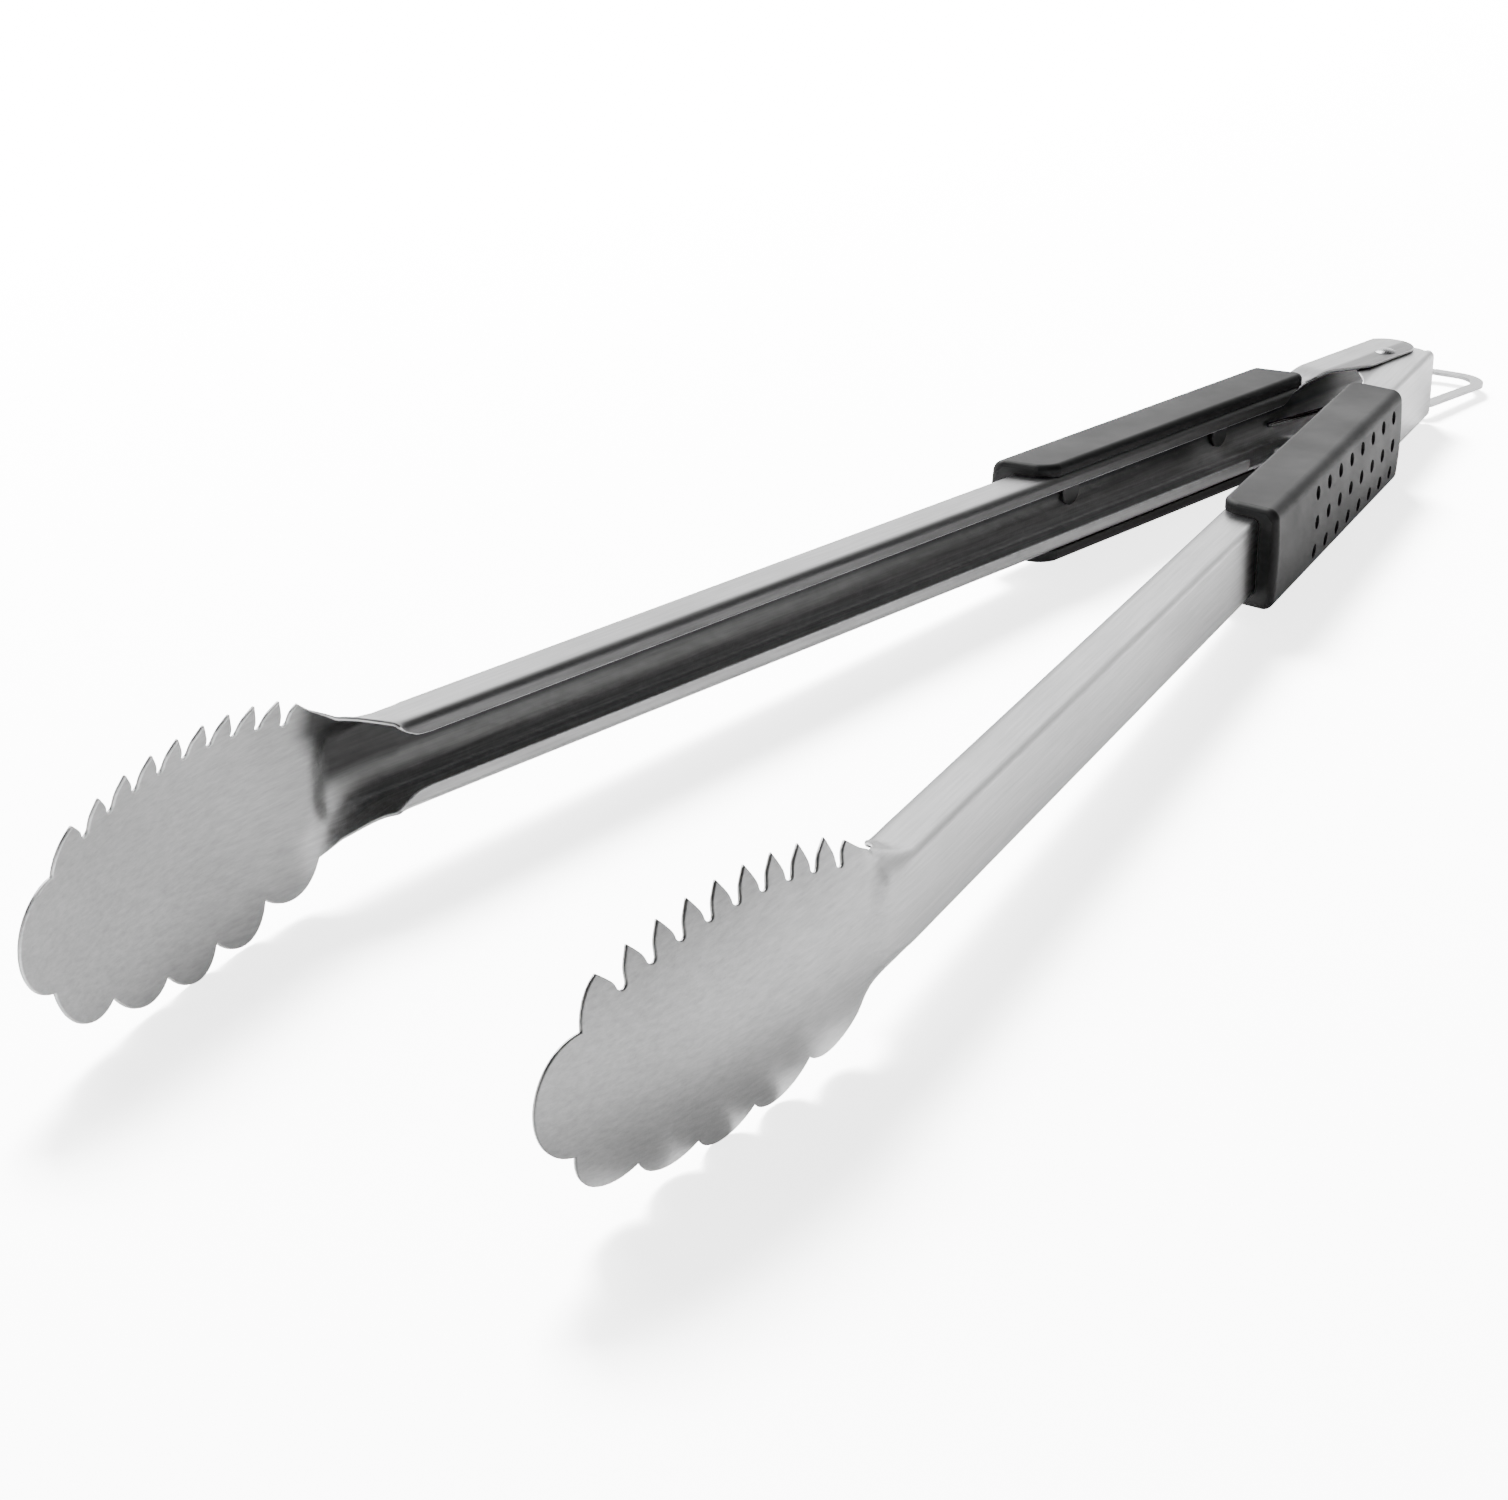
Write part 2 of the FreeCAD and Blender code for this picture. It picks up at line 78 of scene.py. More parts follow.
# Stations along the arm: the ears' joggle, the folded lips, the neck, and the lock's notch.
# lip_rear and lip_front are the rounded ends of a lip, in (u, t).
joggle_start = 26.0
joggle_end = 34.0
ear_play = 0.15
joggle_rise = sheet + ear_play
lip_start = 42.3
lip_start_fade = 1.2
lip_end = 366.5
lip_end_fade = 3.0
lip_straight_end = 358.1
lip_rear = ((45.4, bend_two + bend_arc * 0.9), (48.2, lip_edge - 0.4), (50.5, lip_edge))
lip_front = ((361.6, lip_edge - 0.3), (364.2, lip_edge - 1.3))
flare_start = 364.0
flare_end = 384.0
flare_share = 0.4
bowl_start = 377.3
bowl_end = 383.7
notch_start = 52.0
notch_end = 64.5
notch_floor = bend_two + 0.9

# Head: the oval of the tooth tips, its depth at the root with its slope and bow, the dish,
# the teeth, the tip and the scallops, in (u, w).
# A tooth gap's points are (share of the way from tip to tip, depth).
teeth_centre = 419.3
teeth_half_length = 53.2
head_half_height = 23.5
head_root = 387.7
head_root_depth = 8.1
head_slope = 0.10
head_bow = 0.00181
dish_radius = 61.3
dish_flat = 0.8
dish_arc = 26.0
tooth_count = 9
tooth_first = 453.1
tooth_pitch = 7.41
neck_tooth = (388.0, 18.2)
tooth_gap = ((0.32, 2.4), (0.44, 4.4), (0.585, 5.2), (0.71, 4.5), (0.75, 2.9))
neck_gap = ((0.16, 1.85), (0.15, 3.9), (0.27, 4.65), (0.46, 4.2), (0.62, 2.3))
tip_shoulder = (1.0, 0.6)
tip_top = (458.1, 10.4)
tip_front = (468.1, 0.3)
scallop_valleys = ((459.3, -10.5), (443.9, -18.0), (428.6, -20.4),
                   (414.0, -19.9), (398.8, -17.4), (382.6, -14.6))
scallop_bulges = (4.6, 3.3, 3.8, 4.1, 3.6)

# Neck: its edge and the root of its tooth, in (u, t)
neck_tooth_root = (384.0, 15.7)
neck_edge = ((366.4, 17.8), (367.5, 16.6), (369.5, 15.2), (373.0, 14.2), (377.5, 13.8), (381.0, 14.4))

# Ears: each arm has (the ear's centre, the web's rear end, the depth where its top meets the web).
# ear_run is the flange's edge from the ear to the lip, in (u, v).
ear_edge = -4.0
ear_radius = 7.35
ear_clip = 0.5
inner_ear = (-4.8, -11.0, 8.3)
outer_ear = (-6.2, -7.2, 10.1)
ear_run = ((14.6, ear_edge), (19.5, -1.9), (26.5, 1.0), (34.5, 2.3), (lip_start, 0.8))

# Holes and the softly broken edge
hole_radius = 1.83
stud_hole_radius = 2.2
stud_stations = (66.0, 132.0)
edge_round = 0.22
rim_step = 0.8

# Painted highlight and painted shade on a cut edge: tones that the steel's colour is multiplied by.
# Its outer line gets the painted shade, except along the folded lips, and the rest the painted
# highlight.
painted_edge_highlight = 2.2
painted_edge_shade = 0.35

# Spring, as in the CAD model
wire = 1.2
coil_radius = 4.2
coil_low = -2.9
coil_high = 4.6
coil_laps = 6
leg_reach = 42.0
leg_gap = 0.05


def smooth(part):
    """Smooth step from 0 to 1 of a number or an array."""
    part = np.clip(part, 0.0, 1.0)
    return part * part * (3 - 2 * part)


def opening(u):
    """How far the section at station u has gone from the channel, 0, to the head's dish, 1."""
    flare = smooth((u - flare_start) / (flare_end - flare_start))
    bowl = smooth((u - bowl_start) / (bowl_end - bowl_start))
    return flare_share * flare + (1 - flare_share) * bowl


def middle_depth(u, opened):
    """Depth v of the middle of the sheet at station u."""
    run = u - head_root
    head = head_root_depth - head_slope * run - head_bow * run * run
    return web_middle * (1 - opened) + head * opened


def section_point(u, t, rise):
    """Middle of the formed sheet: depth v and height w for arrays u and t of the blank."""
    reach = np.abs(t)
    opened = opening(u)
    flat = web_flat * (1 - opened) + dish_flat * opened
    arc = bend_arc * (1 - opened) + dish_arc * opened
    turn = math.pi / 2 * (1 - opened) + dish_arc / dish_radius * opened
    radius = arc / turn
    folded = smooth((u - lip_start) / lip_start_fade + 0.5)
    lip = folded * (1 - smooth((u - lip_end) / lip_end_fade + 0.3))
    least, beyond_sheet = 0.001, 1000.0
    second = np.where(lip > least, bend_two, beyond_sheet)
    lip_turn = np.maximum(lip * math.pi / 2, least)
    lip_radius = bend_arc / lip_turn

    lift = rise * (1 - smooth((u - joggle_start) / (joggle_end - joggle_start)))
    w = np.minimum(reach, flat) * (flat + lift) / flat
    v = middle_depth(u, opened)
    angle = np.clip(reach - flat, 0, arc) / radius
    w = w + radius * np.sin(angle)
    v = v - radius * (1 - np.cos(angle))
    straight = np.clip(np.minimum(reach, second) - flat - arc, 0, None)
    w = w + straight * np.cos(turn)
    v = v - straight * np.sin(turn)
    over = turn + np.clip(reach - second, 0, bend_arc) / lip_radius
    w = w + lip_radius * (np.sin(over) - np.sin(turn))
    v = v + lip_radius * (np.cos(over) - np.cos(turn))
    free = np.clip(reach - second - bend_arc, 0, None)
    w = w + free * np.cos(over)
    v = v - free * np.sin(over)
    return v, w * np.sign(t)


def formed(u, t, rise):
    """Points of the middle of the sheet and the normals towards the web's outer face."""
    def place(along, across):
        v, w = section_point(along, across, rise)
        return np.stack([along, v, w], 1)

    step = 0.01
    du = place(u + step, t) - place(u - step, t)
    dt = place(u, t + step) - place(u, t - step)
    normal = np.cross(dt, du)
    normal /= np.linalg.norm(normal, axis=1)[:, None]
    return place(u, t), normal


def flange_at(v):
    """Blank coordinate t of a point of the channel's flange at depth v."""
    above = v - (web_middle - bend_middle)
    if above <= 0:
        return web_flat + bend_arc - above
    return web_flat + bend_middle * math.acos(min(above / bend_middle, 1.0))


def head_at(u, w):
    """Blank coordinate t of the point of the neck or head at station u and height w."""
    low, high = 0.0, 60.0
    halvings = 40
    for _ in range(halvings):
        middle = (low + high) / 2
        if section_point(np.array([u]), np.array([middle]), 0.0)[1][0] < abs(w):
            low = middle
        else:
            high = middle
    return math.copysign(low, w)


def arc(start, middle, end, steps=10):
    """Points after start along the arc through three points."""
    ax, ay = start
    bx, by = middle
    cx, cy = end
    twice = 2 * (ax * (by - cy) + bx * (cy - ay) + cx * (ay - by))
    sa, sb, sc = ax * ax + ay * ay, bx * bx + by * by, cx * cx + cy * cy
    ox = (sa * (by - cy) + sb * (cy - ay) + sc * (ay - by)) / twice
    oy = (sa * (cx - bx) + sb * (ax - cx) + sc * (bx - ax)) / twice
    radius = math.hypot(ax - ox, ay - oy)
    first = math.atan2(ay - oy, ax - ox)
    half = math.remainder(math.atan2(by - oy, bx - ox) - first, 2 * math.pi)
    rest = math.remainder(math.atan2(cy - oy, cx - ox) - first - half, 2 * math.pi)
    turns = [first + (half + rest) * number / steps for number in range(1, steps + 1)]
    return [(ox + radius * math.cos(turn), oy + radius * math.sin(turn)) for turn in turns]


def curve(points, steps=8):
    """Points after the first along a smooth curve through all of them."""
    ends = [points[0]] + list(points) + [points[-1]]
    path = []
    for p0, p1, p2, p3 in zip(ends, ends[1:], ends[2:], ends[3:]):
        for number in range(1, steps + 1):
            s = number / steps
            weights = (-s + 2 * s ** 2 - s ** 3, 2 - 5 * s ** 2 + 3 * s ** 3,
                       s + 4 * s ** 2 - 3 * s ** 3, -s ** 2 + s ** 3)
            path.append(tuple(sum(k * p[axis] for k, p in zip(weights, (p0, p1, p2, p3))) / 2
                              for axis in (0, 1)))
    return path


def oval(u):
    """Height w of the oval that the tooth tips touch."""
    return head_half_height * math.sqrt(1 - ((u - teeth_centre) / teeth_half_length) ** 2)


def teeth():
    """Outline of the toothed edge in (u, w), from the neck's tooth to the tip's tooth."""
    stations = [tooth_first - tooth_pitch * step for step in range(tooth_count)]
    tips = [neck_tooth] + [(u, oval(u)) for u in stations[::-1]]
    path = [neck_tooth]
    for back, front in zip(tips, tips[1:]):
        length = math.dist(back, front)
        along = ((front[0] - back[0]) / length, (front[1] - back[1]) / length)
        gap = neck_gap if back == neck_tooth else tooth_gap
        spots = [(back[0] + along[0] * share * length + along[1] * depth,
                  back[1] + along[1] * share * length - along[0] * depth) for share, depth in gap]
        path += curve([back] + spots[:2], 5)
        path += arc(*spots[1:4], 8)
        path += curve(spots[3:] + [front], 5)
    return path


def bulge(start, end, height):
    """Arc from start to end that swells by height to the right of the way between them."""
    length = math.dist(start, end)
    side = ((end[1] - start[1]) / length, (start[0] - end[0]) / length)
    middle = tuple((a + b) / 2 - height * k for a, b, k in zip(start, end, side))
    return arc(start, middle, end, 16)


def tip():
    """Outline of the round tip in (u, w), from the first tooth to the first scallop."""
    start = (tooth_first, oval(tooth_first))
    shoulder = [(a + b) / 2 + out for a, b, out in zip(start, tip_top, tip_shoulder)]
    return arc(start, shoulder, tip_top, 6) + arc(tip_top, tip_front, scallop_valleys[0], 40)


def scallops():
    """Outline of the scalloped edge in (u, w), from the tip back to the neck."""
    path = []
    for start, end, height in zip(scallop_valleys, scallop_valleys[1:], scallop_bulges):
        path += bulge(start, end, height)
    return path


def side_edge(ear_centre, web_end, shoulder, notched):
    """Edge of the blank from the web's rear end to the neck on one side, as (u, t) with t positive."""
    middle = web_face - ear_radius
    path = [(web_end, flange_at(shoulder + ear_clip))]
    first = math.asin((shoulder - middle) / ear_radius)
    steps = 24
    for number in range(steps + 1):
        turn = first - (first + math.pi / 2) * number / steps
        v = middle + ear_radius * math.sin(turn)
        path.append((ear_centre - ear_radius * math.cos(turn), flange_at(v)))
    path.append((ear_run[0][0], flange_at(ear_edge)))
    path += [(u, flange_at(v)) for u, v in curve(ear_run, 6)]
    path += curve([(lip_start, flange_at(ear_run[-1][1])), *lip_rear], 5)
    if notched:
        path += [(notch_start, lip_edge), (notch_start, notch_floor)]
        path += [(notch_end, notch_floor), (notch_end, lip_edge)]
    path += [(lip_straight_end, lip_edge)]
    path += curve([(lip_straight_end, lip_edge), *lip_front, *neck_edge], 6)
    return path


def blank_outline(ear_centre, web_end, shoulder):
    """Closed outline of one arm's flat blank."""
    top = side_edge(ear_centre, web_end, shoulder, False)
    low = [(u, -t) for u, t in side_edge(ear_centre, web_end, shoulder, True)]
    head_path = [(u, head_at(u, w)) for u, w in teeth() + tip() + scallops()]
    top_neck = [neck_edge[-1], neck_tooth_root, head_path[0]]
    inward = 1.0
    end = [(web_end, inward - web_flat), (web_end, web_flat - inward)]
    return end + top + curve(top_neck, 6) + head_path[1:] + low[::-1]


def hole(u, t, radius, steps=28):
    """Closed outline of a round hole in the blank."""
    turns = [2 * math.pi * number / steps for number in range(steps)]
    return [(u + radius * math.cos(turn), t + radius * math.sin(turn)) for turn in turns]


def divided(path, step):
    """The closed path with points added so that no side is longer than step, and none is tiny."""
    out = []
    tiny = 0.02
    for start, end in zip(path, path[1:] + path[:1]):
        length = math.dist(start, end)
        if length < tiny:
            continue
        count = max(1, math.ceil(length / step))
        for number in range(count):
            share = number / count
            out.append(tuple(a + (b - a) * share for a, b in zip(start, end)))
    return out


def inset_path(path, inset):
    """The closed path moved to its left by inset, with the outward direction at each point."""
    points = np.array(path)
    ahead = np.roll(points, -1, 0) - points
    ahead /= np.linalg.norm(ahead, axis=1)[:, None]
    behind = np.roll(ahead, 1, 0)
    tangent = ahead + behind
    tangent /= np.linalg.norm(tangent, axis=1)[:, None]
    left = np.stack([-tangent[:, 1], tangent[:, 0]], 1)
    spread = np.clip((ahead * tangent).sum(1), 0.5, 1)
    return points + left * (inset / spread)[:, None], -left


def turned_left(path):
    """The closed path in the direction that keeps its inside on the left."""
    area = sum(a[0] * b[1] - b[0] * a[1] for a, b in zip(path, path[1:] + path[:1]))
    return path if area > 0 else path[::-1]


def inside(points, loop):
    """Which points lie inside a closed loop."""
    x, y = points[:, 0], points[:, 1]
    odd = np.zeros(len(points), bool)
    for (x1, y1), (x2, y2) in zip(loop, np.roll(loop, -1, 0)):
        if y1 == y2:
            continue
        crosses = ((y1 > y) != (y2 > y)) & (x < (x2 - x1) * (y - y1) / (y2 - y1) + x1)
        odd ^= crosses
    return odd


def clear_of(points, loops, gap):
    """Which points are further than gap from every loop's points, tested in blocks to save memory."""
    rim = np.concatenate(loops)
    keep = np.ones(len(points), bool)
    size = 200
    for start in range(0, len(rim), size):
        block = rim[start:start + size]
        near = ((points[:, None] - block[None]) ** 2).sum(2).min(1) < gap * gap
        keep &= ~near
    return keep


def blank_mesh(outer, holes, grid):
    """Triangles of the blank: points, triangles, and the loops' point numbers."""
    loops = [np.array(outer)] + [np.array(loop) for loop in holes]
    grid = grid[inside(grid, loops[0])]
    for loop in loops[1:]:
        grid = grid[~inside(grid, loop)]
    least_gap = 0.35
    grid = grid[clear_of(grid, loops, least_gap)]
    points = np.concatenate(loops + [grid])
    edges = []
    starts = []
    first = 0
    for loop in loops:
        count = len(loop)
        starts.append((first, count))
        edges += [(first + number, first + (number + 1) % count) for number in range(count)]
        first += count
    result = delaunay_2d_cdt([Vector(p) for p in points], edges, [], 0, 1e-6, True)
    verts, faces = np.array([tuple(p) for p in result[0]]), np.array(result[2])
    if len(verts) != len(points):
        raise RuntimeError("the blank's outline crosses itself")
    order = np.zeros(len(points), int)
    for new, old in enumerate(result[3]):
        order[old[0]] = new
    centres = verts[faces].mean(1)
    keep = inside(centres, loops[0])
    for loop in loops[1:]:
        keep &= ~inside(centres, loop)
    faces = faces[keep]
    a, b, c = verts[faces[:, 0]], verts[faces[:, 1]], verts[faces[:, 2]]
    ab, ac = b - a, c - a
    area = ab[:, 0] * ac[:, 1] - ab[:, 1] * ac[:, 0]
    faces = np.where((area > 0)[:, None], faces, faces[:, ::-1])
    rims = [[int(order[start + number]) for number in range(count)] for start, count in starts]
    return verts, faces, rims


def arm_grid():
    """Points inside the blank that carry the bends, the neck and the head.

    The ears and the neck need close stations. Stations further than about 2 mm apart would let
    triangles from the finely divided rim cut across the lips' bends.
    """
    bends = [start + bend_arc * k / 4 for start in (web_flat, bend_two) for k in range(5)]
    flats = [0, 2.5, 5.0, 7.0, 10.2, 12.3, 14.3, 15.8, 19.2]
    lines = sorted(set(bends + flats))
    lines = [-t for t in lines[:0:-1]] + lines
    ears = np.arange(-14, 44, 1.0)
    straight = np.arange(44, 356, 2.0)
    body = [(u, t) for u in (*ears, *straight, 357.5) for t in lines]
    pitch = 1.1
    head = [(u, t) for u in np.arange(359.0, 469.0, pitch) for t in np.arange(-28.0, 28.1, pitch)]
    return np.array(body + head)


def painted_channel_light_and_shade(u, t):
    """Painted light and shade on the arm's inner face: 1 in the head, darker or lighter by height in the
    channel.

    The tones are fitted to the photograph under this scene's lights. They aren't a known
    treatment of the steel's surface, and part of what they copy is reflection.
    """
    border_middle, border_bow, bow_reach = bowl_end - 7.2, 0.05, 11.0
    border = border_middle + border_bow * np.minimum(np.abs(t), bow_reach) ** 2
    head_fade = 8.0
    head = smooth((u - border) / head_fade)
    # Painted shade near the top of the channel, and a painted reflection, brighter than the steel, low
    # down.
    painted_top_shade, painted_low_light = 0.11, 1.51
    low_start, low_fade = 0.5, 7.0
    channel = painted_top_shade + (painted_low_light - painted_top_shade) * smooth((low_start - t) / low_fade)
    return channel + (1 - channel) * head


def painted_lip_shade(u, t):
    """Tone of the arm's outer face: 1, and darker on the lip of the toothed side, fitted too."""
    # Painted shade on the lip of the toothed side, standing for a dark reflection.
    darkening = 0.7
    before_bend, before_end, end_fade = 0.8, 2.0, 4.0
    across = smooth((t - bend_two + before_bend) / bend_arc)
    along = 1 - smooth((u - lip_end + before_end) / end_fade)
    return 1.0 - darkening * across * along


def new_piece(name, points, faces, normals, body, material, matrix, side=1, painted_tone=1.0):
    """Adds a mesh made in millimetres in its own frame and lets it ride on a CAD body.

    Its points keep what the steel's material reads: own_place, the place in its own frame,
    brush_way, the way of the brushed lines, and the tone of painted light and shade.
    """
    own = np.array(points, float) * mm
    place = np.array(matrix)
    mirror = np.array([1, side, 1])
    faces = [list(face)[::-1] if side > 0 else list(face) for face in faces]
    mesh = bpy.data.meshes.new(name)
    mesh.from_pydata((own * mirror @ place[:3, :3].T + place[:3, 3]).tolist(), [], faces)
    mesh.polygons.foreach_set("use_smooth", [True] * len(mesh.polygons))
    if normals is not None:
        turned = np.array(normals, float) * mirror @ place[:3, :3].T
        mesh.normals_split_custom_set_from_vertices(turned.tolist())
    mesh.attributes.new("own_place", "FLOAT_VECTOR", "POINT").data.foreach_set("vector", own.ravel())
    brush = np.tile(place[:3, 0], (len(own), 1))
    mesh.attributes.new("brush_way", "FLOAT_VECTOR", "POINT").data.foreach_set("vector", brush.ravel())
    # The tone is painted light and shade: 1 paints nothing, below 1 is painted shade, above 1 painted
    # light.
    tone = np.ones(len(own)) * painted_tone
    mesh.attributes.new("painted_tone", "FLOAT", "POINT").data.foreach_set("value", tone)
    mesh.materials.append(material)
    piece = bpy.data.objects.new(name, mesh)
    bpy.context.scene.collection.objects.link(piece)
    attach(piece, body)
    return piece


def arm_matrix(side):
    """From the arm's frame to the row frame. side is +1 for the inner arm and -1 for the outer."""
    lie = Matrix.Rotation(-lie_angle, 4, "Y")
    swing = Matrix.Rotation(side * open_angle, 4, "Z")
    return Matrix.Translation(pivot) @ lie @ swing


def make_arm(name, side, rise, ear_centre, web_end, shoulder, material):
    """One arm as a closed sheet with softly broken edges."""
    outer = turned_left(divided(blank_outline(ear_centre, web_end, shoulder), rim_step))
    pin = flange_at(0.0)
    holes = [hole(0.0, t, hole_radius) for t in (pin, -pin)]
    holes += [hole(station, 0.0, stud_hole_radius) for station in stud_stations]
    rims = [outer] + [turned_left(loop)[::-1] for loop in holes]
    shrunk = [inset_path(loop, edge_round) for loop in rims]
    verts, faces, loops = blank_mesh([tuple(p) for p in shrunk[0][0]],
                                     [[tuple(p) for p in s[0]] for s in shrunk[1:]], arm_grid())
    middle, normal = formed(verts[:, 0], verts[:, 1], rise)
    count = len(verts)
    points = [middle + normal * sheet / 2, middle - normal * sheet / 2]
    normals = [normal, -normal]
    # Painted shade on the outer face's lip, and painted shade and reflection in the inner face's
    # channel.
    tones = [painted_lip_shade(verts[:, 0], verts[:, 1]), painted_channel_light_and_shade(verts[:, 0], verts[:, 1])]
    polygons = [tuple(face) for face in faces]
    polygons += [tuple(count + k for k in face[::-1]) for face in faces]
    first = 2 * count
    nudge = 0.1
    for rim, (_, outward), loop in zip(rims, shrunk, loops):
        rim = np.array(rim)
        here, up = formed(rim[:, 0], rim[:, 1], rise)
        further = rim + outward * nudge
        there, _ = formed(further[:, 0], further[:, 1], rise)
        out = there - here
        out -= up * (out * up).sum(1)[:, None]
        out /= np.linalg.norm(out, axis=1)[:, None]
        flat = sheet / 2 - edge_round
        points += [here + up * flat, here - up * flat]
        normals += [(out + up) / math.sqrt(2), (out - up) / math.sqrt(2)]
        # Each cut edge gets a painted highlight, and its outer line a painted shade, except along the
        # folded lips.
        folded = (np.abs(rim[:, 1]) > bend_two) & (rim[:, 0] < lip_end)
        tones += [np.where(folded, painted_edge_highlight, painted_edge_shade), np.full(len(rim), painted_edge_highlight)]
        size = len(rim)
        for number in range(size):
            after = (number + 1) % size
            a, b = loop[number], loop[after]
            c, d = first + number, first + after
            e, f = c + size, d + size
            polygons += [(a, c, d, b), (c, e, f, d), (e, count + a, count + b, f)]
        first += 2 * size
    return new_piece(name + "_sheet", np.concatenate(points), polygons, np.concatenate(normals),
                     name, material, arm_matrix(side), side, np.concatenate(tones))


def tube(path, radius, sides=16):
    """Round wire along a path of points: its points and faces, with closed ends."""
    path = np.array(path, float)
    ahead = np.gradient(path, axis=0)
    ahead /= np.linalg.norm(ahead, axis=1)[:, None]
    across = np.cross(ahead, (0.0, 0.0, 1.0))
    across /= np.linalg.norm(across, axis=1)[:, None]
    above = np.cross(across, ahead)
    turns = np.arange(sides) * 2 * math.pi / sides
    around = across[:, None] * np.cos(turns)[:, None] + above[:, None] * np.sin(turns)[:, None]
    points = (path[:, None] + around * radius).reshape(-1, 3)
    faces = []
    for ring in range(len(path) - 1):
        for k in range(sides):
            after = (k + 1) % sides
            first, second = ring * sides, (ring + 1) * sides
            faces.append((first + k, second + k, second + after, first + after))
    last = (len(path) - 1) * sides
    faces.append(tuple(range(sides)))
    faces.append(tuple(last + k for k in reversed(range(sides))))
    return points, faces


def straight_run(start, end, steps=30):
    """Points along a straight run of wire."""
    shares = [number / steps for number in range(steps + 1)]
    return [tuple(a + (b - a) * share for a, b in zip(start, end)) for share in shares]


def make_spring(material):
    """Coil round the sleeve, and a leg to each arm that goes along with it.

    Each leg starts inside the coil's last points, so the wire stays joined as the arms close.
    """
    contact = web_face - sheet - wire / 2 - leg_gap
    reach_x = leg_reach * math.cos(open_angle) - contact * math.sin(open_angle)
    reach_y = leg_reach * math.sin(open_angle) + contact * math.cos(open_angle)
    reach = math.hypot(reach_x, reach_y)
    leave = math.atan2(reach_y, reach_x) + math.acos(coil_radius / reach)
    sweep = 2 * math.pi * coil_laps - 2 * leave
    steps = 300
    coil = []
    for number in range(steps + 1):
        share = number / steps
        turn = leave + sweep * share
        coil.append((coil_radius * math.cos(turn), -coil_radius * math.sin(turn),
                     coil_low + (coil_high - coil_low) * share))
    overlap = 2
    over_coil = 0.01
    legs = (("outer_arm", coil[overlap::-1], -1, coil_low),
            ("inner_arm", coil[-1 - overlap:], 1, coil_high))
    place = Matrix.Translation(pivot) @ Matrix.Rotation(-lie_angle, 4, "Y")
    points, faces = tube(coil, wire / 2)
    piece = new_piece("spring_coil", points, faces, None, "pivot", material, place)
    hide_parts("torsion_spring")
    for body, root, side, level in legs:
        run = straight_run(root[-1], (reach_x, side * reach_y, level))
        points, faces = tube(root[:-1] + run, wire / 2 + over_coil)
        new_piece("spring_leg_" + body, points, faces, None, body, material, place)


def set_input(node, name, value):
    """Sets a plain value on a node's own socket."""
    node.inputs[name].default_value = value


def add_noise(tree, where, stretch, detail, roughness=0.6):
    """Noise over the piece's own coordinates in metres, stretched by a factor along each axis."""
    mapping = tree.nodes.new("ShaderNodeMapping")
    set_input(mapping, "Scale", stretch)
    noise = tree.nodes.new("ShaderNodeTexNoise")
    set_input(noise, "Scale", 1.0)
    set_input(noise, "Detail", detail)
    set_input(noise, "Roughness", roughness)
    tree.links.new(where, mapping.inputs["Vector"])
    tree.links.new(mapping.outputs["Vector"], noise.inputs["Vector"])
    return noise.outputs["Fac"]


def ranged(tree, value, low, high, start=0.3, end=0.7):
    """The value taken from the range start to end over to the range low to high."""
    node = tree.nodes.new("ShaderNodeMapRange")
    set_input(node, "From Min", start)
    set_input(node, "From Max", end)
    set_input(node, "To Min", low)
    set_input(node, "To Max", high)
    tree.links.new(value, node.inputs["Value"])
    return node.outputs["Result"]


def mixed(tree, factor, first, second):
    """Colour between two colours by a factor."""
    node = tree.nodes.new("ShaderNodeMix")
    node.data_type = "RGBA"
    set_input(node, "A", (*first, 1))
    set_input(node, "B", (*second, 1))
    tree.links.new(factor, node.inputs["Factor"])
    return node.outputs["Result"]


def bumped(tree, shader, heights):
    """Chains bump nodes from (height, strength, distance in metres)."""
    before = None
    for height, strength, distance in heights:
        node = tree.nodes.new("ShaderNodeBump")
        set_input(node, "Strength", strength)
        set_input(node, "Distance", distance)
        tree.links.new(height, node.inputs["Height"])
        if before is not None:
            tree.links.new(before, node.inputs["Normal"])
        before = node.outputs["Normal"]
    tree.links.new(before, shader.inputs["Normal"])


def stored(tree, name):
    """The node that reads an attribute stored by new_piece."""
    node = tree.nodes.new("ShaderNodeAttribute")
    node.attribute_name = name
    return node


def own_coordinates(tree, made_here):
    """The piece's own coordinates: the stored ones of a piece made here, or a CAD node's object ones."""
    if made_here:
        return stored(tree, "own_place").outputs["Vector"]
    return tree.nodes.new("ShaderNodeTexCoord").outputs["Object"]


def new_material(name, colour, metallic, roughness):
    """A material with plain values on its one shader."""
    material = bpy.data.materials.new(name)
    material.use_nodes = True
    shader = material.node_tree.nodes["Principled BSDF"]
    set_input(shader, "Base Color", (*colour, 1))
    set_input(shader, "Metallic", metallic)
    set_input(shader, "Roughness", roughness)
    return material


